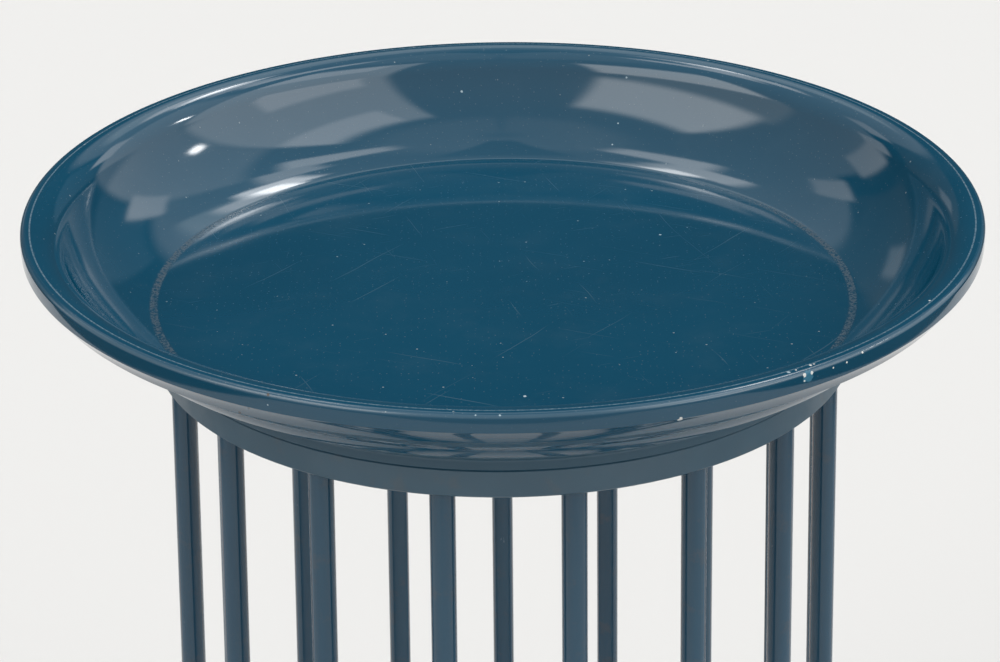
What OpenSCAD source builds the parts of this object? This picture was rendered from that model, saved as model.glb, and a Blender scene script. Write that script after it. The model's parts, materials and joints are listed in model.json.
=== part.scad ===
// Bird bath: a shallow round dish with a flared rim, carried by a collar ring,
// a cage of thin round rods that splays a little towards the ground, and a base ring.
// Z = 0 is the ground, and the Z axis runs up through the centre of the dish.

/* [Overall] */
// Height of the rim above the ground
total_h = 680; // [560:10:800]

/* [Dish] */
// Outside diameter of the rim
rim_d = 440; // [436:1:446]
// Depth of the flat floor below the rim
dish_depth = 44.5; // [42:0.5:45]
// Diameter of the flat floor
floor_d = 327; // [320:1:328]
// Height of the upright band round the rim
rim_band_h = 8; // [7:0.5:10]
// Rounding of the rim's upper outer edge
rim_edge_r = 2.3; // [1:0.1:3]
// Radius of the roll where the rim turns down into the dish
lip_roll_r = 15.8; // [12:0.2:18]
// Steepest slope of the inside wall, in degrees
wall_slope = 66; // [62:1:70]
// Slope of the small cove under the rim, at its outer edge, in degrees
cove_slope = 46.5; // [44:0.5:49]
// Slope of the underside's long run, where it leaves the cove, in degrees
run_slope = 35; // [34.5:0.5:38]
// Slope of the bead that ends the long run, at its upper edge, in degrees
bead_slope = 58; // [55:1:61]
// Radial distance from the rim to the bead's lower edge
bead_inset = 32; // [31:0.5:34]
// Diameter of the dish's foot
foot_d = 326.6; // [326:0.2:328]
// Height from the rim down to the bottom of the foot
foot_drop = 54.4; // [54:0.2:58]

/* [Collar] */
// Outside diameter of the collar ring
collar_d = 325.6; // [325.6:0.2:326.6]
// Height of the collar ring
collar_h = 13.2; // [12:0.2:16]
// Radial width of the collar ring
collar_w = 20.4; // [20:0.1:20.6]

/* [Rods] */
// Number of rods in the cage
rod_count = 17; // [12:1:20]
// Diameter of one rod
rod_d = 11.2; // [11:0.2:13]
// Radius of the ring of rods where they leave the collar
rod_ring_r = 152.6; // [152:0.1:152.7]
// Outward lean of each rod, in degrees
rod_lean = 1.3; // [0:0.1:2]

/* [Base] */
// Height of the base ring
base_h = 14; // [13:1:20]
// Radial width of the base ring
base_w = 34; // [30:1:44]
// Height of rubber foot that shows below the base ring
foot_h = 5; // [3:0.5:8]
// Number of rubber feet
foot_count = 6; // [3:1:6]

/* [Hidden] */
$fn = 96;

rim_r = rim_d / 2;
floor_r = floor_d / 2;
foot_r = foot_d / 2;
collar_r = collar_d / 2;
rod_r = rod_d / 2;

// Heights, from the top down
seam_gap = 0.2;
floor_z = total_h - dish_depth;
seam_z = total_h - foot_drop;
collar_top = seam_z - seam_gap;
collar_bottom = collar_top - collar_h;
base_top = foot_h + base_h;

// Dish shell
crest_inset = 4.4;
arris = 0.5;
cove_w = 6;
cove_drop = 7.5;
run_drop = 14.5;
bead_w = 4;
bead_drop = 5.4;
foot_wall_h = 3.5;
foot_fillet_r = 2.6;
foot_fillet_slope = 28;
foot_ring_in_r = 145.5;
recess_z = seam_z + 5;
relief_z = seam_z + 2.5;
spigot_z = seam_z - 6;
spigot_r = 141.7;
spigot_w = 4;
spigot_lead = 1;

// Rod ends in their sockets
top_socket = 5.2;
base_socket = 8;
socket_gap = 0.05;
rod_chamfer = 0.6;
cage_h = collar_bottom - base_top;
rod_top = top_socket / cos(rod_lean);
rod_len = (cage_h + top_socket + base_socket) / cos(rod_lean);
rod_bottom = rod_top - rod_len;
base_ring_r = rod_ring_r + (cage_h + base_h / 2) * tan(rod_lean);

// Countersunk screws, the same at both ends of the rods
screw_r = 2.45;
screw_len = 18;
head_r = 4.6;
head_h = 2.6;
key_af = 3;
key_depth = 1.6;
thread_r = 2.5;
thread_depth = 14;
clear_r = 2.75;
head_gap = 0.15;
head_sink = 0.2;
collar_screw_z = collar_h / cos(rod_lean) - head_sink;
base_screw_z = -(collar_bottom - foot_h) / cos(rod_lean) + head_sink;

// Seat gasket, which stands proud of its groove by the seam gap
gasket_out_r = collar_r - 2.6;
gasket_w = 2.4;
gasket_h = 2.2;
groove_gap = 0.1;

// Push-in rubber feet, each between two rods
pad_r = 10;
stem_r = 4;
stem_h = 8;
stem_gap = 0.05;

// How far a cutter runs past the face it opens
past = 2;

arc_steps = 20;
edge_steps = 8;
step_deg = 360 / rod_count;

rod_names = [for (i = [1:rod_count]) str("rod_", i)];
foot_names = [for (i = [1:foot_count]) str("foot_", i)];

paint = [0.09, 0.32, 0.43];
satin_paint = [0.29, 0.40, 0.47];
rod_paint = [0.22, 0.34, 0.44];
rubber = [0.08, 0.08, 0.09];
stainless = [0.72, 0.73, 0.74];

// Points of an arc about the centre c, from angle a to angle b
function arc(c, r, a, b, n = arc_steps) =
    [for (i = [0:n]) c + r * [cos(a + (b - a) * i / n), sin(a + (b - a) * i / n)]];

function reversed(points) =
    [for (i = [len(points) - 1:-1:0]) points[i]];

// An arc that falls from p towards the axis at the given slope and ends at q: upward-hollow
// when the slope is more than that of the chord, downward-hollow when it is less
function falling_arc(p, q, slope) =
    let (
        chord_slope = atan2(p.y - q.y, p.x - q.x),
        r = norm(p - q) / (2 * sin(slope - chord_slope)),
        centre = p + r * [-sin(slope), cos(slope)]
    )
    arc(centre, r, slope - 90, 2 * chord_slope - slope - 90);

// Inside of the dish, from the crest of the rim to the centre of the floor
function inside_outline() =
    let (
        roll_centre = [rim_r - crest_inset, total_h - lip_roll_r],
        wall_top = roll_centre + lip_roll_r * [-sin(wall_slope), cos(wall_slope)]
    )
    concat(
        arc(roll_centre, lip_roll_r, 90, 90 + wall_slope),
        falling_arc(wall_top, [floor_r, floor_z], wall_slope),
        [[0, floor_z]]
    );

// Bottom of the dish, from the axis out to the foot's upright wall
function bottom_outline() = [
    [0, recess_z],
    [spigot_r - spigot_w, recess_z],
    [spigot_r - spigot_w, spigot_z],
    [spigot_r - spigot_lead, spigot_z],
    [spigot_r, spigot_z + spigot_lead],
    [spigot_r, relief_z],
    [foot_ring_in_r, relief_z],
    [foot_ring_in_r, seam_z],
    [foot_r - arris, seam_z],
    [foot_r, seam_z + arris]
];

// Underside of the dish, from the rim's lower edge in to the lower edge of the bead:
// a small cove, a long shallow run, and the bead
function underside_outline() =
    let (
        corner = [rim_r, total_h - rim_band_h],
        cove_start = corner - arris * [cos(cove_slope), sin(cove_slope)],
        cove_end = corner - [cove_w, cove_drop],
        run_end = corner - [bead_inset - bead_w, cove_drop + run_drop],
        bead_end = run_end - [bead_w, bead_drop]
    )
    concat(
        falling_arc(cove_start, cove_end, cove_slope),
        falling_arc(cove_end, run_end, run_slope),
        falling_arc(run_end, bead_end, bead_slope)
    );

// Outside of the dish, from the foot's fillet out along the soffit, up the underside
// and round the rim
function outside_outline() =
    let (
        fillet_centre = [foot_r + foot_fillet_r, seam_z + foot_wall_h],
        edge_centre = [rim_r - rim_edge_r, total_h - rim_edge_r]
    )
    concat(
        arc(fillet_centre, foot_fillet_r, 180, 90 + foot_fillet_slope, edge_steps),
        reversed(underside_outline()),
        [[rim_r, total_h - rim_band_h + arris]],
        arc(edge_centre, rim_edge_r, 0, 90, edge_steps)
    );

module dish() {
    color(paint)
        rotate_extrude()
            polygon(concat(bottom_outline(), outside_outline(), inside_outline()));
}

// A flat ring with chamfered edges, standing on the height z
module ring(r_out, w, h, z, chamfer) {
    r_in = r_out - w;
    translate([0, 0, z])
        rotate_extrude()
            polygon([
                [r_in + chamfer, 0],
                [r_out - chamfer, 0],
                [r_out, chamfer],
                [r_out, h - chamfer],
                [r_out - chamfer, h],
                [r_in + chamfer, h],
                [r_in, h - chamfer],
                [r_in, chamfer]
            ]);
}

// A round bar along Z, from the height z, with chamfered ends
module bar(r, h, z, chamfer) {
    translate([0, 0, z])
        rotate_extrude()
            polygon([
                [0, 0],
                [r - chamfer, 0],
                [r, chamfer],
                [r, h - chamfer],
                [r - chamfer, h],
                [0, h]
            ]);
}

// Puts its children on a rod's axis: local Z runs up the rod, from the collar's underside
module on_rod(i) {
    rotate([0, 0, 90 + (i - 1) * step_deg])
        translate([rod_ring_r, 0, collar_bottom])
            rotate([0, -rod_lean, 0])
                children();
}

// Puts its children on the head of a rod's upper or lower screw, with the head facing +Z
module on_collar_screw(i) {
    on_rod(i)
        translate([0, 0, collar_screw_z])
            children();
}

module on_base_screw(i) {
    on_rod(i)
        translate([0, 0, base_screw_z])
            rotate([180, 0, 0])
                children();
}

// Puts its children on a rubber foot's axis, at the ground
module on_foot(i) {
    gap = floor((i - 1) * rod_count / foot_count) + 0.5;
    rotate([0, 0, 90 + gap * step_deg])
        translate([base_ring_r, 0, 0])
            children();
}

// Countersunk screw along Z, with the flat of its head at the origin
module screw() {
    difference() {
        union() {
            translate([0, 0, -head_h])
                cylinder(r1 = screw_r, r2 = head_r, h = head_h);
            translate([0, 0, -screw_len])
                cylinder(r = screw_r, h = screw_len - head_h);
        }
        translate([0, 0, -key_depth])
            cylinder(d = key_af / cos(30), h = key_depth + past, $fn = 6);
    }
}

module screw_hole() {
    translate([0, 0, -head_h])
        cylinder(r1 = clear_r, r2 = head_r + head_gap, h = head_h);
    translate([0, 0, -screw_len])
        cylinder(r = clear_r, h = screw_len);
    cylinder(r = head_r + head_gap, h = past);
}

module seat_gasket() {
    color(rubber)
        ring(gasket_out_r, gasket_w, gasket_h, seam_z - gasket_h, 0.3);
}

module collar_ring() {
    groove_out_r = gasket_out_r + groove_gap;
    groove_w = gasket_w + 2 * groove_gap;
    color(satin_paint)
        difference() {
            ring(collar_r, collar_w, collar_h, collar_bottom, 0.8);
            translate([0, 0, seam_z - gasket_h])
                difference() {
                    cylinder(r = groove_out_r, h = gasket_h + past);
                    translate([0, 0, -past])
                        cylinder(r = groove_out_r - groove_w, h = gasket_h + 3 * past);
                }
            for (i = [1:rod_count]) {
                on_rod(i)
                    translate([0, 0, -past])
                        cylinder(r = rod_r + socket_gap, h = rod_top + past);
                on_collar_screw(i)
                    screw_hole();
            }
        }
}

module collar_screws() {
    color(stainless)
        for (i = [1:rod_count])
            on_collar_screw(i)
                screw();
}

module rod(i) {
    color(rod_paint)
        on_rod(i)
            difference() {
                bar(rod_r, rod_len, rod_bottom, rod_chamfer);
                translate([0, 0, rod_top - thread_depth])
                    cylinder(r = thread_r, h = thread_depth + past);
                translate([0, 0, rod_bottom - past])
                    cylinder(r = thread_r, h = thread_depth + past);
            }
}

module base_ring() {
    color(satin_paint)
        difference() {
            ring(base_ring_r + base_w / 2, base_w, base_h, foot_h, 1);
            for (i = [1:rod_count]) {
                on_rod(i)
                    translate([0, 0, rod_bottom])
                        cylinder(r = rod_r + socket_gap, h = base_socket + 2 * past);
                on_base_screw(i)
                    screw_hole();
            }
            for (i = [1:foot_count])
                on_foot(i)
                    cylinder(r = stem_r + stem_gap, h = foot_h + stem_h + stem_gap);
        }
}

module base_screws() {
    color(stainless)
        for (i = [1:rod_count])
            on_base_screw(i)
                screw();
}

module rubber_foot(i) {
    color(rubber)
        on_foot(i) {
            bar(pad_r, foot_h, 0, 1);
            bar(stem_r, foot_h + stem_h - 1, 1, 0.6);
        }
}

dish();
seat_gasket();
collar_ring();
collar_screws();
for (i = [1:rod_count])
    rod(i);
base_ring();
base_screws();
for (i = [1:foot_count])
    rubber_foot(i);
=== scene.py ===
"""Looks of the bird bath: a lacquered dish on a cage of rods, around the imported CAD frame."""

import json
import math

import bmesh
import bpy
from mathutils import Matrix, Vector


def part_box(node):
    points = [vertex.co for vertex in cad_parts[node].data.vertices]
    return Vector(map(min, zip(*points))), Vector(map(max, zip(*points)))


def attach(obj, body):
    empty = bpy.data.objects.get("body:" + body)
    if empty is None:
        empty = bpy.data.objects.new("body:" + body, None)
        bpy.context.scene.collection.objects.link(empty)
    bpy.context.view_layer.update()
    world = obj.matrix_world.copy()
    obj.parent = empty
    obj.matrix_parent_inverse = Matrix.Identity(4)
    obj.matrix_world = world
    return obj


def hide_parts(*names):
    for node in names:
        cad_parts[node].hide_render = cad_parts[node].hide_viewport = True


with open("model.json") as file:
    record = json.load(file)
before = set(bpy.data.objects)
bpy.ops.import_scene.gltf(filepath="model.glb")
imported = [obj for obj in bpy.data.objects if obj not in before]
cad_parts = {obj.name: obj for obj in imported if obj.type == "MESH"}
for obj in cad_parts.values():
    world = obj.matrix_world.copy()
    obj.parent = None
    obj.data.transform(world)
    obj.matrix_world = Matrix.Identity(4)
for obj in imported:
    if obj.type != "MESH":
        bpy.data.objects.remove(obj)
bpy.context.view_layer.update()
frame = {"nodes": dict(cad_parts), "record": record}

# ---------------------------------------------------------------- sizes, from the frame, in metres

MM = 0.001
RIM_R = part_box("dish")[1].x
RIM_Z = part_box("dish")[1].z
COLLAR_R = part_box("collar_ring")[1].x
COLLAR_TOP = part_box("collar_ring")[1].z
SEAM_Z = COLLAR_TOP + 0.2 * MM
FOOT_R = COLLAR_R + 0.5 * MM

# Profile of the dish, as in the CAD source
FLOOR_R = 163.5 * MM
FLOOR_Z = RIM_Z - 44.5 * MM
ROLL_R = 15.8 * MM
CREST_INSET = 4.4 * MM
WALL_SLOPE = math.radians(66)
COVE_SLOPE = math.radians(46.5)
RUN_SLOPE = math.radians(35)
BEAD_SLOPE = math.radians(58)
COVE_W, COVE_DROP = 6 * MM, 7.5 * MM
BEAD_INSET, RUN_DROP = 32 * MM, 14.5 * MM
BEAD_W, BEAD_DROP = 4 * MM, 5.4 * MM
BAND_H = 8 * MM
EDGE_R = 2.3 * MM
FOOT_WALL_H = 3.5 * MM
FOOT_FILLET_R = 2.6 * MM
FOOT_FILLET_SLOPE = math.radians(28)
CREASE_R = 6 * MM
ARRIS = 0.4 * MM
UNDER_TURN_R = 0.4 * MM
BEAD_EDGE_R = 0.6 * MM
FOOT_RING_IN_R = 145.5 * MM
RELIEF_Z = SEAM_Z + 2.5 * MM
RECESS_Z = SEAM_Z + 5 * MM
SPIGOT_R = 141.7 * MM
SPIGOT_W = 4 * MM
SPIGOT_Z = SEAM_Z - 6 * MM
SPIGOT_LEAD = 1 * MM

BEAD_Z = RIM_Z - BAND_H - COVE_DROP - RUN_DROP - BEAD_DROP

DISH_SEGMENTS = 480


# ---------------------------------------------------------------- profile geometry, as (r, z) points


def arc(centre, radius, start, end, steps):
    """Points of an arc, with the angles in radians."""
    angles = [start + (end - start) * i / steps for i in range(steps + 1)]
    return [(centre[0] + radius * math.cos(a), centre[1] + radius * math.sin(a)) for a in angles]


def falling_arc(p, q, slope, steps):
    """An arc that falls from p towards the axis at the given slope and ends at q: upward-hollow
    when the slope is more than that of the chord, downward-hollow when it is less."""
    chord = math.hypot(p[0] - q[0], p[1] - q[1])
    chord_slope = math.atan2(p[1] - q[1], p[0] - q[0])
    radius = chord / (2 * math.sin(slope - chord_slope))
    centre = (p[0] - radius * math.sin(slope), p[1] + radius * math.cos(slope))
    quarter = math.pi / 2
    return arc(centre, radius, slope - quarter, 2 * chord_slope - slope - quarter, steps)


def rounded_corner(before, corner, after, radius, steps):
    """Points that round a corner between two straight runs."""
    b, c, a = Vector(before), Vector(corner), Vector(after)
    to_b, to_a = (b - c).normalized(), (a - c).normalized()
    half = to_b.angle(to_a) / 2
    tangent = radius / math.tan(half)
    centre = c + (to_b + to_a).normalized() * (radius / math.sin(half))
    start, end = c + to_b * tangent - centre, c + to_a * tangent - centre
    points = []
    for i in range(steps + 1):
        mixed = start.lerp(end, i / steps).normalized() * radius
        points.append(tuple(centre + mixed))
    return points


def inside_profile():
    """Outline of the bowl, from the middle of its floor to the crest of the rim."""
    roll_centre = (RIM_R - CREST_INSET, RIM_Z - ROLL_R)
    quarter = math.pi / 2
    wall_top = (
        roll_centre[0] - ROLL_R * math.sin(WALL_SLOPE),
        roll_centre[1] + ROLL_R * math.cos(WALL_SLOPE),
    )
    wall = falling_arc(wall_top, (FLOOR_R, FLOOR_Z), WALL_SLOPE, 64)[::-1]
    roll = arc(roll_centre, ROLL_R, quarter + WALL_SLOPE, quarter, 32)
    floor_rings = [(FLOOR_R * k / 10, FLOOR_Z) for k in range(10)]
    crease = rounded_corner(floor_rings[-1], (FLOOR_R, FLOOR_Z), wall[2], CREASE_R, 6)
    return floor_rings + crease + wall[2:] + roll[1:]


def outside_profile():
    """Outline of the outside, from the rim's rounded edge down to the foot's upright wall."""
    quarter = math.pi / 2
    edge = arc((RIM_R - EDGE_R, RIM_Z - EDGE_R), EDGE_R, quarter, 0, 12)
    band_foot = (RIM_R, RIM_Z - BAND_H)
    fillet_centre = (FOOT_R + FOOT_FILLET_R, SEAM_Z + FOOT_WALL_H)
    fillet_end = quarter + FOOT_FILLET_SLOPE
    fillet = arc(fillet_centre, FOOT_FILLET_R, math.pi, fillet_end, 10)
    cove_end = (RIM_R - COVE_W, band_foot[1] - COVE_DROP)
    run_end = (RIM_R - BEAD_INSET + BEAD_W, cove_end[1] - RUN_DROP)
    bead_end = (RIM_R - BEAD_INSET, run_end[1] - BEAD_DROP)
    cove = falling_arc(band_foot, cove_end, COVE_SLOPE, 12)
    run = falling_arc(cove_end, run_end, RUN_SLOPE, 32)
    bead = falling_arc(run_end, bead_end, BEAD_SLOPE, 10)
    lower_edge = rounded_corner(edge[-1], band_foot, cove[2], ARRIS, 4)
    cove_turn = rounded_corner(cove[-2], cove_end, run[2], UNDER_TURN_R, 6)
    run_turn = rounded_corner(run[-2], run_end, bead[2], UNDER_TURN_R, 5)
    bead_turn = rounded_corner(bead[-2], bead_end, fillet[-1], BEAD_EDGE_R, 5)
    under = cove[2:-1] + cove_turn + run[2:-1] + run_turn + bead[2:-1] + bead_turn
    return edge + lower_edge + under + fillet[::-1]


def foot_profile(above):
    """Outline of the foot ring, spigot and recess, from the foot's lower edge to the axis:
    above is the point of the upright wall that comes before."""
    ring_in = (FOOT_RING_IN_R, SEAM_Z)
    return rounded_corner(above, (FOOT_R, SEAM_Z), ring_in, ARRIS, 4) + [
        ring_in,
        (FOOT_RING_IN_R, RELIEF_Z),
        (SPIGOT_R, RELIEF_Z),
        (SPIGOT_R, SPIGOT_Z + SPIGOT_LEAD),
        (SPIGOT_R - SPIGOT_LEAD, SPIGOT_Z),
        (SPIGOT_R - SPIGOT_W, SPIGOT_Z),
        (SPIGOT_R - SPIGOT_W, RECESS_Z),
        (0, RECESS_Z),
    ]


def dish_profile():
    """Closed outline of the dish, from the middle of its floor, over the rim, to its underside."""
    outside = outside_profile()
    return inside_profile() + outside + foot_profile(outside[-1])


def place_on_dish(turn, reach):
    """A place on the dish's skin. Turn is in degrees from straight behind, positive to the right;
    reach is the distance along the skin from the rim's crest, outwards, or into the bowl if negative."""
    inside = inside_profile()
    path = inside[-1:] + outside_profile() if reach >= 0 else inside[::-1]
    left = abs(reach)
    for p, q in zip(path, path[1:]):
        step = math.dist(p, q)
        if step >= left:
            break
        left -= step
    share = left / step
    r = p[0] + share * (q[0] - p[0])
    angle = math.radians(turn)
    return (r * math.sin(angle), r * math.cos(angle), p[1] + share * (q[1] - p[1]))


def lathe(name, profile, segments, sharp_degrees=28):
    """A closed lathe of a profile that starts and ends on the axis, with UVs in metres:
    round the axis and along the profile."""
    mesh = bmesh.new()
    uv = mesh.loops.layers.uv.new("metres")
    rings = []
    for r, z in profile:
        if r < 1e-6:
            rings.append([mesh.verts.new((0, 0, z))])
            continue
        turn = 2 * math.pi / segments
        rings.append(
            [mesh.verts.new((r * math.sin(i * turn), r * math.cos(i * turn), z)) for i in range(segments)]
        )
    along = [0.0]
    for (r0, z0), (r1, z1) in zip(profile, profile[1:]):
        along.append(along[-1] + math.hypot(r1 - r0, z1 - z0))
    for k in range(len(rings) - 1):
        low, high = rings[k], rings[k + 1]
        for i in range(segments):
            j = (i + 1) % segments
            if len(low) == 1:
                corners = [(low[0], i + 0.5, k), (high[j], i + 1, k + 1), (high[i], i, k + 1)]
            elif len(high) == 1:
                corners = [(low[i], i, k), (low[j], i + 1, k), (high[0], i + 0.5, k + 1)]
            else:
                corners = [(low[i], i, k), (low[j], i + 1, k), (high[j], i + 1, k + 1), (high[i], i, k + 1)]
            face = mesh.faces.new([c[0] for c in corners])
            face.smooth = True
            for loop, (_, step, ring) in zip(face.loops, corners):
                loop[uv].uv = (RIM_R * 2 * math.pi * step / segments, along[ring])
    bmesh.ops.recalc_face_normals(mesh, faces=mesh.faces)
    for edge in mesh.edges:
        if edge.calc_face_angle(0) > math.radians(sharp_degrees):
            edge.smooth = False
    data = bpy.data.meshes.new(name)
    mesh.to_mesh(data)
    mesh.free()
    piece = bpy.data.objects.new(name, data)
    bpy.context.scene.collection.objects.link(piece)
    return piece


# ---------------------------------------------------------------- node helpers


class Nodes:
    """Short calls for building a node tree. A value given is a number, a tuple or a socket."""

    def __init__(self, tree):
        self.tree = tree

    def add(self, kind, inputs=(), **settings):
        node = self.tree.nodes.new(kind)
        for key, value in settings.items():
            setattr(node, key, value)
        for key, value in dict(inputs).items():
            self.plug(node.inputs[key], value)
        return node

    def plug(self, socket, value):
        if isinstance(value, bpy.types.NodeSocket):
            self.tree.links.new(value, socket)
        else:
            socket.default_value = value

    def math(self, operation, a, b=0.0, clamp=False):
        node = self.add("ShaderNodeMath", {0: a, 1: b}, operation=operation, use_clamp=clamp)
        return node.outputs[0]

    def ramp(self, value, low, high, to_low=0.0, to_high=1.0):
        node = self.add(
            "ShaderNodeMapRange",
            {"Value": value, "From Min": low, "From Max": high, "To Min": to_low, "To Max": to_high},
            interpolation_type="SMOOTHSTEP",
        )
        return node.outputs["Result"]

    def blend(self, share, a, b, mode="MIX"):
        node = self.add("ShaderNodeMix", data_type="RGBA", blend_type=mode)
        self.plug(node.inputs["Factor"], share)
        self.plug(node.inputs[6], a)
        self.plug(node.inputs[7], b)
        return node.outputs[2]

    def noise(self, where, scale, detail=2.0, roughness=0.5):
        inputs = {"Vector": where, "Scale": scale, "Detail": detail, "Roughness": roughness}
        return self.add("ShaderNodeTexNoise", inputs).outputs["Fac"]

    def stretch(self, where, scale=(1, 1, 1), turn=(0, 0, 0), shift=(0, 0, 0)):
        node = self.add(
            "ShaderNodeMapping", {"Vector": where, "Scale": scale, "Rotation": turn, "Location": shift}
        )
        return node.outputs[0]

    def object_place(self):
        return self.add("ShaderNodeTexCoord").outputs["Object"]

    def metres_uv(self):
        return self.add("ShaderNodeUVMap", uv_map="metres").outputs[0]

    def radius(self, place):
        apart = self.add("ShaderNodeSeparateXYZ", {0: place})
        flat = self.add("ShaderNodeCombineXYZ", {0: apart.outputs[0], 1: apart.outputs[1]})
        return self.add("ShaderNodeVectorMath", {0: flat.outputs[0]}, operation="LENGTH").outputs["Value"]

    def height(self, place):
        return self.add("ShaderNodeSeparateXYZ", {0: place}).outputs[2]

    def near(self, value, centre, reach):
        """A mask that is 1 at the centre value and falls to 0 at the reach."""
        away = self.math("ABSOLUTE", self.math("SUBTRACT", value, centre))
        return self.ramp(away, reach, 0.5 * reach)

    def wobble(self, where, scale, size):
        """A small random shift of a place."""
        shades = self.add("ShaderNodeTexNoise", {"Vector": where, "Scale": scale, "Detail": 1.0})
        inputs = {0: shades.outputs["Color"], 1: (0.5, 0.5, 0.5)}
        centred = self.add("ShaderNodeVectorMath", inputs, operation="SUBTRACT").outputs[0]
        sized = self.add("ShaderNodeVectorMath", {0: centred, "Scale": size}, operation="SCALE")
        return sized.outputs[0]


def new_material(name):
    material = bpy.data.materials.new(name)
    material.use_nodes = True
    material.node_tree.nodes.clear()
    nodes = Nodes(material.node_tree)
    surface = nodes.add("ShaderNodeBsdfPrincipled")
    output = nodes.add("ShaderNodeOutputMaterial")
    nodes.plug(output.inputs["Surface"], surface.outputs[0])
    return material, nodes, surface


def specks(nodes, where, cell, share, size):
    """Scattered dots: cell is the spacing, share the part of the cells that hold one, and size
    its radius."""
    scaled = nodes.stretch(where, scale=(1 / cell, 1 / cell, 1 / cell))
    dots = nodes.add("ShaderNodeTexVoronoi", {"Vector": scaled, "Scale": 1.0}, voronoi_dimensions="2D")
    shade = nodes.add("ShaderNodeSeparateColor", {0: dots.outputs["Color"]})
    chosen = nodes.math("GREATER_THAN", shade.outputs[0], 1 - share)
    smaller = nodes.math("MULTIPLY", shade.outputs[1], 0.6 * size / cell)
    reach = nodes.math("SUBTRACT", size / cell, smaller)
    depth = nodes.math("SUBTRACT", reach, dots.outputs["Distance"])
    round_dot = nodes.math("MULTIPLY", depth, 3 * cell / size, clamp=True)
    return nodes.math("MULTIPLY", chosen, round_dot)


def scratches(nodes, where, length, width, turn, rarity):
    """Fine broken scratches that run one way: turn is the direction, and rarity the noise level
    that they start at."""
    sway = nodes.wobble(where, 22, 5 * MM)
    bent = nodes.add("ShaderNodeVectorMath", {0: where, 1: sway}, operation="ADD")
    turned = nodes.stretch(bent.outputs[0], turn=(0, 0, math.radians(turn)))
    drawn = nodes.stretch(turned, scale=(1 / length, 1 / width, 1), shift=(turn, turn, 0))
    return nodes.ramp(nodes.noise(drawn, 1.0, 0.0), rarity, rarity + 0.06)


def spot(nodes, place, at, size):
    """A ragged spot round one place on the surface, as a mask."""
    sway = nodes.wobble(place, 900, 0.9 * size)
    ragged = nodes.add("ShaderNodeVectorMath", {0: place, 1: sway}, operation="ADD")
    away = nodes.add("ShaderNodeVectorMath", {0: ragged.outputs[0], 1: at}, operation="DISTANCE")
    return nodes.ramp(away.outputs["Value"], size, 0.7 * size)


# ---------------------------------------------------------------- materials

# Paints, and what lies on them or shows through, as linear colours
TEAL = (0.0022, 0.0510, 0.0955, 1)
TEAL_LIGHT = (0.0030, 0.0550, 0.1020, 1)
SLATE = (0.007, 0.056, 0.096, 1)
SLATE_LIGHT = (0.010, 0.064, 0.107, 1)
ROD_BLUE = (0.004, 0.045, 0.085, 1)
ROD_BLUE_LIGHT = (0.006, 0.053, 0.097, 1)
DUST = (0.22, 0.27, 0.29, 1)
DIRT = (0.075, 0.060, 0.048, 1)
# Pale rubbed paint, also used for the painted highlights along the rim
WORN_AND_HIGHLIGHT = (0.30, 0.39, 0.44, 1)
CHIP = (0.62, 0.62, 0.59, 1)
BRIGHT_TEAL = (0.008, 0.12, 0.20, 1)
RUBBER = (0.012, 0.012, 0.013, 1)
RUBBER_LIGHT = (0.03, 0.03, 0.032, 1)
STEEL = (0.50, 0.50, 0.49, 1)
STEEL_LIGHT = (0.62, 0.62, 0.61, 1)

# Chips and marks on the dish: turn in degrees and reach along the skin, as in place_on_dish, both
# measured on the photo's object and rounded, then radius and colour
MARKS = [
    # Right of the front: a large chip with small ones round it
    (146.5, 6 * MM, 3 * MM, BRIGHT_TEAL),
    (147, 5 * MM, 1 * MM, CHIP),
    (146, 5 * MM, 0.8 * MM, CHIP),
    (147, 7.5 * MM, 0.5 * MM, CHIP),
    (145.5, 1 * MM, 0.7 * MM, CHIP),
    (145, 1 * MM, 0.5 * MM, CHIP),
    (147.5, 1 * MM, 0.5 * MM, CHIP),
    (148.5, 1 * MM, 0.9 * MM, WORN_AND_HIGHLIGHT),
    # Along the rim's edge to both sides of it
    (143, 6 * MM, 0.5 * MM, CHIP),
    (141, 6 * MM, 0.5 * MM, CHIP),
    (138.5, 4.5 * MM, 0.6 * MM, CHIP),
    (123, -1 * MM, 0.6 * MM, CHIP),
    (162, 12 * MM, 1.3 * MM, CHIP),
    (-179, 3.5 * MM, 0.5 * MM, WORN_AND_HIGHLIGHT),
    (-176.5, 3.5 * MM, 0.4 * MM, WORN_AND_HIGHLIGHT),
    # Left of the front
    (-154, 4 * MM, 0.8 * MM, DIRT),
    (-154, 8.5 * MM, 0.4 * MM, WORN_AND_HIGHLIGHT),
    (-149.5, 20 * MM, 0.9 * MM, DIRT),
    (-151.5, 13 * MM, 0.6 * MM, DIRT),
    # On the far wall and the floor of the bowl
    (-5.5, -29 * MM, 0.7 * MM, WORN_AND_HIGHLIGHT),
    (19.5, -19 * MM, 0.6 * MM, WORN_AND_HIGHLIGHT),
    (19.5, -44 * MM, 0.5 * MM, WORN_AND_HIGHLIGHT),
    (19.5, -57 * MM, 0.5 * MM, WORN_AND_HIGHLIGHT),
    (176, -121 * MM, 0.9 * MM, WORN_AND_HIGHLIGHT),
    (51.5, -136 * MM, 0.7 * MM, WORN_AND_HIGHLIGHT),
]

# Length, width, direction in degrees and rarity of the scratches on the dish's floor
SCRATCH_RUNS = [
    (60 * MM, 0.8 * MM, 24, 0.815),
    (45 * MM, 0.7 * MM, 71, 0.835),
    (80 * MM, 0.8 * MM, 128, 0.825),
    (25 * MM, 0.6 * MM, 160, 0.84),
]

# How far from the middle, to the left or right, the dirt in the floor's crease starts and is full
DIRT_FROM, DIRT_TO = 100 * MM, 158 * MM


def floor_scratches(nodes, place, on_floor):
    lines = 0.0
    for length, width, turn, rarity in SCRATCH_RUNS:
        more = scratches(nodes, place, length, width, turn, rarity)
        lines = nodes.math("MAXIMUM", lines, more)
    return nodes.math("MULTIPLY", lines, on_floor)


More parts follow.
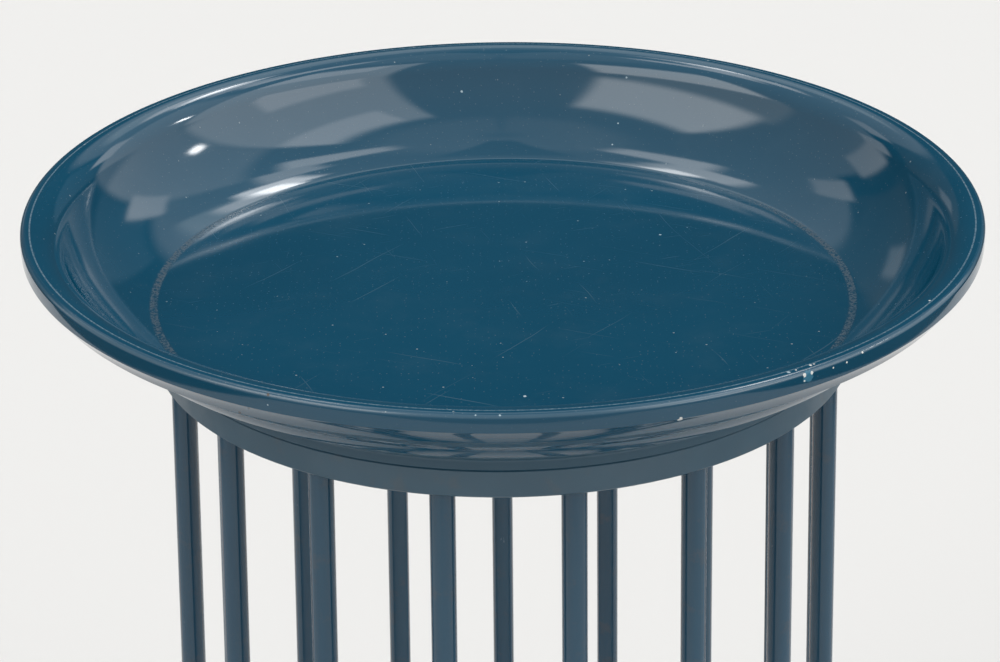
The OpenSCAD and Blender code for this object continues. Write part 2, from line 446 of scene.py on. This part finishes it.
def dish_dust(nodes, skin, inside):
    """Dust on the whole dish, thicker on the side that faces up."""
    small = nodes.math("MULTIPLY", specks(nodes, skin, 3.2 * MM, 0.35, 0.30 * MM), 0.35)
    large = nodes.math("MULTIPLY", specks(nodes, skin, 13 * MM, 0.16, 0.55 * MM), 0.75)
    dust = nodes.math("MAXIMUM", small, large)
    return nodes.math("MULTIPLY", dust, nodes.ramp(inside, 0, 1, 0.3, 1))


def crease_dirt(nodes, place, radius, inside):
    """Crumbs of dirt where the floor meets the wall, mostly at the left and right."""
    across = nodes.add("ShaderNodeSeparateXYZ", {0: place}).outputs[0]
    by_side = nodes.ramp(nodes.math("ABSOLUTE", across), DIRT_FROM, DIRT_TO, 0.06, 1)
    crease = nodes.math("MULTIPLY", nodes.near(radius, FLOOR_R - 1.2 * MM, 2.4 * MM), inside)
    crumbs = nodes.ramp(nodes.noise(place, 640, 5, 0.75), 0.36, 0.66)
    return nodes.math("MULTIPLY", nodes.math("MULTIPLY", crease, crumbs), by_side)


def rim_wear_and_highlight(nodes, place, radius, height):
    """The rubbed line on the crest, whose even part is a painted highlight, and worn flecks and a faint
    pale line on the rounded edge that is a painted highlight.
    """
    crest = nodes.near(radius, RIM_R - CREST_INSET, 0.45 * MM)
    crest = nodes.math("MULTIPLY", crest, nodes.ramp(height, RIM_Z - 1 * MM, RIM_Z - 0.5 * MM))
    # The crest line: an even painted highlight at 0.35, with rubbed wear on top of it
    rubbed = nodes.ramp(nodes.noise(place, 700, 4, 0.7), 0.40, 0.72, 0.35, 1)
    edge = nodes.near(height, RIM_Z - EDGE_R / 2, 0.7 * MM)
    edge = nodes.math("MULTIPLY", edge, nodes.ramp(nodes.noise(place, 260, 4, 0.7), 0.66, 0.72))
    # A faint pale line along the rounded edge: a painted highlight
    painted_edge_highlight = nodes.near(height, RIM_Z - 0.9 * MM, 0.7 * MM)
    painted_edge_highlight = nodes.math("MULTIPLY", painted_edge_highlight, nodes.ramp(radius, RIM_R - 2.4 * MM, RIM_R - 1.6 * MM))
    wear_and_highlight = nodes.math("MAXIMUM", nodes.math("MULTIPLY", crest, rubbed), nodes.math("MULTIPLY", edge, 0.6))
    return nodes.math("MAXIMUM", wear_and_highlight, nodes.math("MULTIPLY", painted_edge_highlight, 0.2))


def dish_relief(nodes, place, chipped, lines):
    """Turning ripple, orange peel, and the dents of the chips and scratches, as a normal."""
    turned = nodes.noise(nodes.stretch(nodes.metres_uv(), scale=(5, 300, 1)), 1.0, 2)
    ripple = nodes.add("ShaderNodeBump", {"Height": turned, "Strength": 1.0, "Distance": 0.0015 * MM})
    peel = nodes.math("SUBTRACT", nodes.noise(place, 420, 2), nodes.math("MULTIPLY", chipped, 6.0))
    peel = nodes.math("SUBTRACT", peel, nodes.math("MULTIPLY", lines, 0.6))
    bump = nodes.add("ShaderNodeBump", {"Height": peel, "Strength": 0.06, "Distance": 0.05 * MM})
    nodes.plug(bump.inputs["Normal"], ripple.outputs[0])
    return bump.outputs[0]


def dish_lacquer():
    """Gloss lacquer on the bowl, rim and flare; satin from the bead down."""
    material, nodes, surface = new_material("dish_lacquer")
    place = nodes.object_place()
    radius = nodes.radius(place)
    height = nodes.height(place)
    on_floor = nodes.ramp(radius, FLOOR_R, FLOOR_R - 1 * MM)
    skin = nodes.blend(on_floor, nodes.metres_uv(), place)
    facing = nodes.height(nodes.add("ShaderNodeTexCoord").outputs["Normal"])
    inside = nodes.ramp(facing, 0.15, 0.25)
    satin = nodes.ramp(height, BEAD_Z, BEAD_Z - 0.4 * MM)
    satin = nodes.math("SUBTRACT", satin, inside, clamp=True)

    cloudy = nodes.noise(place, 9, 3)
    colour = nodes.blend(nodes.ramp(cloudy, 0.35, 0.65), TEAL, TEAL_LIGHT)
    colour = nodes.blend(satin, colour, SLATE)
    film = nodes.math("MULTIPLY", nodes.ramp(nodes.noise(place, 30, 5, 0.65), 0.45, 0.8), 0.025)
    colour = nodes.blend(nodes.math("MULTIPLY", film, inside), colour, DUST)
    lines = floor_scratches(nodes, place, on_floor)
    colour = nodes.blend(nodes.math("MULTIPLY", lines, 0.11), colour, WORN_AND_HIGHLIGHT)
    dust = dish_dust(nodes, skin, inside)
    colour = nodes.blend(dust, colour, DUST)
    dirt = crease_dirt(nodes, place, radius, inside)
    colour = nodes.blend(nodes.math("MULTIPLY", dirt, 0.42), colour, DIRT)
    wear_and_highlight = rim_wear_and_highlight(nodes, place, radius, height)
    # Rubbed wear, and painted highlights along the crest and the rounded edge
    colour = nodes.blend(nodes.math("MULTIPLY", wear_and_highlight, 0.45), colour, WORN_AND_HIGHLIGHT)

    chipped = 0.0
    for turn, reach, size, tint in MARKS:
        mask = spot(nodes, place, place_on_dish(turn, reach), size)
        colour = nodes.blend(mask, colour, tint)
        chipped = nodes.math("MAXIMUM", chipped, mask)

    nodes.plug(surface.inputs["Base Color"], colour)
    surface.inputs["IOR"].default_value = 1.56
    haze = nodes.ramp(nodes.noise(place, 14, 4, 0.6), 0.4, 0.7, 0.05, 0.085)
    haze = nodes.math("ADD", haze, nodes.math("MULTIPLY", satin, 0.33))
    dull = nodes.math("MAXIMUM", nodes.math("MAXIMUM", dust, dirt), nodes.math("MAXIMUM", chipped, wear_and_highlight))
    haze = nodes.math("ADD", haze, nodes.math("MULTIPLY", dull, 0.5), clamp=True)
    nodes.plug(surface.inputs["Roughness"], haze)
    nodes.plug(surface.inputs["Normal"], dish_relief(nodes, place, chipped, lines))
    return material


def slate_lacquer(name, dark, light, grain_scale, smoothest, roughest, ior):
    """The satin lacquer of the collar, base ring and rods, with rubbed flecks and grime."""
    material, nodes, surface = new_material(name)
    place = nodes.object_place()
    along = nodes.stretch(place, scale=grain_scale)
    cloudy = nodes.ramp(nodes.noise(along, 45, 3), 0.3, 0.7)
    colour = nodes.blend(cloudy, dark, light)
    flecks = nodes.ramp(nodes.noise(along, 420, 4, 0.7), 0.70, 0.76)
    colour = nodes.blend(nodes.math("MULTIPLY", flecks, 0.35), colour, WORN_AND_HIGHLIGHT)
    grime = nodes.ramp(nodes.noise(place, 75, 4, 0.6), 0.56, 0.74)
    colour = nodes.blend(nodes.math("MULTIPLY", grime, 0.22), colour, DIRT)
    nodes.plug(surface.inputs["Base Color"], colour)
    rough = nodes.ramp(nodes.noise(along, 60, 3), 0.3, 0.7, smoothest, roughest)
    nodes.plug(surface.inputs["Roughness"], nodes.math("ADD", rough, nodes.math("MULTIPLY", flecks, 0.2)))
    surface.inputs["IOR"].default_value = ior
    grain = nodes.math("SUBTRACT", nodes.noise(along, 900, 2), flecks)
    bump = nodes.add("ShaderNodeBump", {"Height": grain, "Strength": 0.12, "Distance": 0.05 * MM})
    nodes.plug(surface.inputs["Normal"], bump.outputs[0])
    return material


def rubber():
    material, nodes, surface = new_material("rubber")
    place = nodes.object_place()
    shade = nodes.ramp(nodes.noise(place, 300, 3), 0.3, 0.7)
    nodes.plug(surface.inputs["Base Color"], nodes.blend(shade, RUBBER, RUBBER_LIGHT))
    nodes.plug(surface.inputs["Roughness"], nodes.ramp(nodes.noise(place, 150, 2), 0.3, 0.7, 0.6, 0.8))
    grain = nodes.noise(place, 1500, 2)
    bump = nodes.add("ShaderNodeBump", {"Height": grain, "Strength": 0.3, "Distance": 0.1 * MM})
    nodes.plug(surface.inputs["Normal"], bump.outputs[0])
    return material


def stainless():
    material, nodes, surface = new_material("stainless")
    place = nodes.object_place()
    shade = nodes.ramp(nodes.noise(place, 500, 3), 0.3, 0.7)
    nodes.plug(surface.inputs["Base Color"], nodes.blend(shade, STEEL, STEEL_LIGHT))
    surface.inputs["Metallic"].default_value = 1.0
    nodes.plug(surface.inputs["Roughness"], nodes.ramp(nodes.noise(place, 900, 2), 0.3, 0.7, 0.25, 0.42))
    grain = nodes.noise(place, 2500, 2)
    bump = nodes.add("ShaderNodeBump", {"Height": grain, "Strength": 0.2, "Distance": 0.05 * MM})
    nodes.plug(surface.inputs["Normal"], bump.outputs[0])
    return material


# ---------------------------------------------------------------- pieces


def dress(node, material):
    data = frame["nodes"][node].data
    data.materials.clear()
    data.materials.append(material)


MATERIAL_OF_SLOT = {
    "satin_lacquer": slate_lacquer("satin_lacquer", SLATE, SLATE_LIGHT, (1, 1, 1), 0.34, 0.44, 1.75),
    "rod_lacquer": slate_lacquer("rod_lacquer", ROD_BLUE, ROD_BLUE_LIGHT, (1, 1, 0.15), 0.13, 0.20, 1.58),
    "rubber": rubber(),
    "stainless": stainless(),
}

for part in frame["record"]["subparts"]:
    if part["material_slot"] in MATERIAL_OF_SLOT:
        dress(part["node"], MATERIAL_OF_SLOT[part["material_slot"]])

dish = lathe("dish_bowl", dish_profile(), DISH_SEGMENTS)
dish.data.materials.append(dish_lacquer())
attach(dish, "dish")
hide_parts("dish")


# ---------------------------------------------------------------- floor, light and camera

# Pale paper sheet under the object: half width, and where it ends in front and behind
FLOOR_HALF_W = 1.4
FLOOR_FRONT = -1.62
FLOOR_BACK = 4.2
FLOOR_COLOUR = (0.665, 0.653, 0.639, 1)


def make_floor():
    data = bpy.data.meshes.new("studio_floor")
    front = [(-FLOOR_HALF_W, FLOOR_FRONT, 0), (FLOOR_HALF_W, FLOOR_FRONT, 0)]
    back = [(FLOOR_HALF_W, FLOOR_BACK, 0), (-FLOOR_HALF_W, FLOOR_BACK, 0)]
    data.from_pydata(front + back, [], [(0, 1, 2, 3)])
    floor = bpy.data.objects.new("studio_floor", data)
    bpy.context.scene.collection.objects.link(floor)
    material, nodes, surface = new_material("studio_floor")
    surface.inputs["Base Color"].default_value = FLOOR_COLOUR
    surface.inputs["Roughness"].default_value = 0.9
    surface.inputs["Specular IOR Level"].default_value = 0.1
    data.materials.append(material)


# The surroundings, each patch over the ones before it: azimuth from straight behind the object,
# positive to the right, and elevation, each with its half width, in degrees; then the softness
# of its edge and its colour
PATCHES = [
    dict(at=(0, 80), half=(181, 12), soft=8, colour=(0.84, 0.86, 0.87)),
    dict(at=(-118, 24), half=(28, 10), soft=5, colour=(1.15, 1.15, 1.12)),
    dict(at=(66, 30), half=(20, 24), soft=5, colour=(1.15, 1.17, 1.18)),
    dict(at=(-5, 12), half=(55, 21), soft=4, colour=(0.05, 0.055, 0.06)),
    dict(at=(-29, 19), half=(20, 14), soft=4, colour=(0.14, 0.125, 0.11)),
    dict(at=(33, 18), half=(15, 12), soft=3, colour=(0.15, 0.20, 0.24)),
    dict(at=(46, 28), half=(7, 8), soft=3, colour=(2.0, 2.0, 2.0)),
    dict(at=(-61, 15), half=(7, 9), soft=3, colour=(1.3, 1.3, 1.3)),
    dict(at=(-50, 35), half=(7, 7), soft=3, colour=(1.4, 1.4, 1.4)),
    dict(at=(-22, 13), half=(6, 5), soft=3, colour=(0.5, 0.5, 0.5)),
    dict(at=(0, 75), half=(16, 11), soft=4, colour=(0.42, 0.43, 0.44)),
    dict(at=(8, 46), half=(25, 11), soft=4, colour=(1.2, 1.28, 1.30)),
    dict(at=(116, 41), half=(34, 28), soft=5, colour=(2.3, 2.33, 2.33)),
    dict(at=(110, 59), half=(26, 8), soft=4, colour=(3.5, 3.5, 3.5)),
    dict(at=(124, 23), half=(18, 10), soft=4, colour=(3.6, 3.6, 3.6)),
    dict(at=(-124, 44), half=(30, 17), soft=6, colour=(3.7, 3.68, 3.62)),
    dict(at=(22, 47), half=(8, 5), soft=3, colour=(3.2, 3.2, 3.2)),
    dict(at=(55, 66), half=(10, 10), soft=4, colour=(3.2, 3.2, 3.2)),
    dict(at=(43, 58), half=(8, 6), soft=3, colour=(2.5, 2.5, 2.5)),
    dict(at=(30, 53), half=(7, 6), soft=3, colour=(6.5, 6.5, 6.5)),
    dict(at=(-42, 65), half=(10, 9), soft=4, colour=(3.3, 3.3, 3.3)),
    dict(at=(-30, 57), half=(8, 7), soft=3, colour=(3.2, 3.2, 3.2)),
    dict(at=(-19, 59), half=(7, 4), soft=3, colour=(2.6, 2.6, 2.6)),
    dict(at=(26, 52), half=(5, 3), soft=2, colour=(15, 15, 15)),
    dict(at=(-21, 57), half=(5, 3), soft=2, colour=(9, 9, 9)),
    dict(at=(79, 30), half=(4, 3), soft=3, colour=(26, 26, 26)),
]
ROOM = (0.60, 0.62, 0.64, 1)
BEHIND_CAMERA = (0.68, 0.69, 0.70, 1)
BELOW = (0.10, 0.095, 0.088, 1)
BELOW_IN_FRONT = (0.42, 0.42, 0.42, 1)
BACKGROUND = (0.855, 0.847, 0.83, 1)


def make_world():
    world = bpy.data.worlds.new("studio")
    bpy.context.scene.world = world
    world.use_nodes = True
    world.node_tree.nodes.clear()
    nodes = Nodes(world.node_tree)
    direction = nodes.add("ShaderNodeTexCoord").outputs["Generated"]
    apart = nodes.add("ShaderNodeSeparateXYZ", {0: direction})
    to_degrees = 180 / math.pi
    azimuth = nodes.math("MULTIPLY", nodes.math("ARCTAN2", apart.outputs[0], apart.outputs[1]), to_degrees)
    elevation = nodes.math("MULTIPLY", nodes.math("ARCSINE", apart.outputs[2]), to_degrees)
    glow = nodes.blend(nodes.ramp(apart.outputs[1], -0.3, -0.75), ROOM, BEHIND_CAMERA)
    for patch in PATCHES:
        masks = []
        for value, centre, half in zip((azimuth, elevation), patch["at"], patch["half"]):
            away = nodes.math("ABSOLUTE", nodes.math("SUBTRACT", value, centre))
            masks.append(nodes.ramp(away, half, half - patch["soft"]))
        glow = nodes.blend(nodes.math("MULTIPLY", *masks), glow, patch["colour"] + (1,))
    below = nodes.blend(nodes.ramp(apart.outputs[1], -0.3, -0.75), BELOW, BELOW_IN_FRONT)
    glow = nodes.blend(nodes.ramp(elevation, 0, -4), glow, below)
    path = nodes.add("ShaderNodeLightPath")
    seen = nodes.blend(path.outputs["Is Camera Ray"], glow, BACKGROUND)
    background = nodes.add("ShaderNodeBackground", {"Color": seen, "Strength": 1.0})
    output = nodes.add("ShaderNodeOutputWorld")
    nodes.plug(output.inputs["Surface"], background.outputs[0])


# The camera's place and angles in radians, and then a turn of the whole camera round the object
CAMERA_TURN = math.radians(-0.55)
CAMERA_PLACE = Vector((0, -1.2518, RIM_Z + 0.5188))
CAMERA_PITCH = 0.4372
CAMERA_YAW = -0.0013
CAMERA_ROLL = -0.0099
CAMERA_LENS = 105.88


def make_camera():
    looking = Vector(
        (
            math.sin(CAMERA_YAW) * math.cos(CAMERA_PITCH),
            math.cos(CAMERA_YAW) * math.cos(CAMERA_PITCH),
            -math.sin(CAMERA_PITCH),
        )
    )
    level = looking.cross(Vector((0, 0, 1))).normalized()
    upward = level.cross(looking)
    cosine, sine = math.cos(CAMERA_ROLL), math.sin(CAMERA_ROLL)
    right = cosine * level + sine * upward
    up = -sine * level + cosine * upward
    data = bpy.data.cameras.new("camera")
    data.sensor_width = 36
    data.lens = CAMERA_LENS
    camera = bpy.data.objects.new("camera", data)
    bpy.context.scene.collection.objects.link(camera)
    columns = Matrix((right, up, -looking)).transposed().to_4x4()
    turn = Matrix.Rotation(CAMERA_TURN, 4, "Z")
    camera.matrix_world = turn @ Matrix.Translation(CAMERA_PLACE) @ columns
    bpy.context.scene.camera = camera


make_floor()
make_world()
make_camera()
bpy.context.scene.view_settings.view_transform = "Standard"
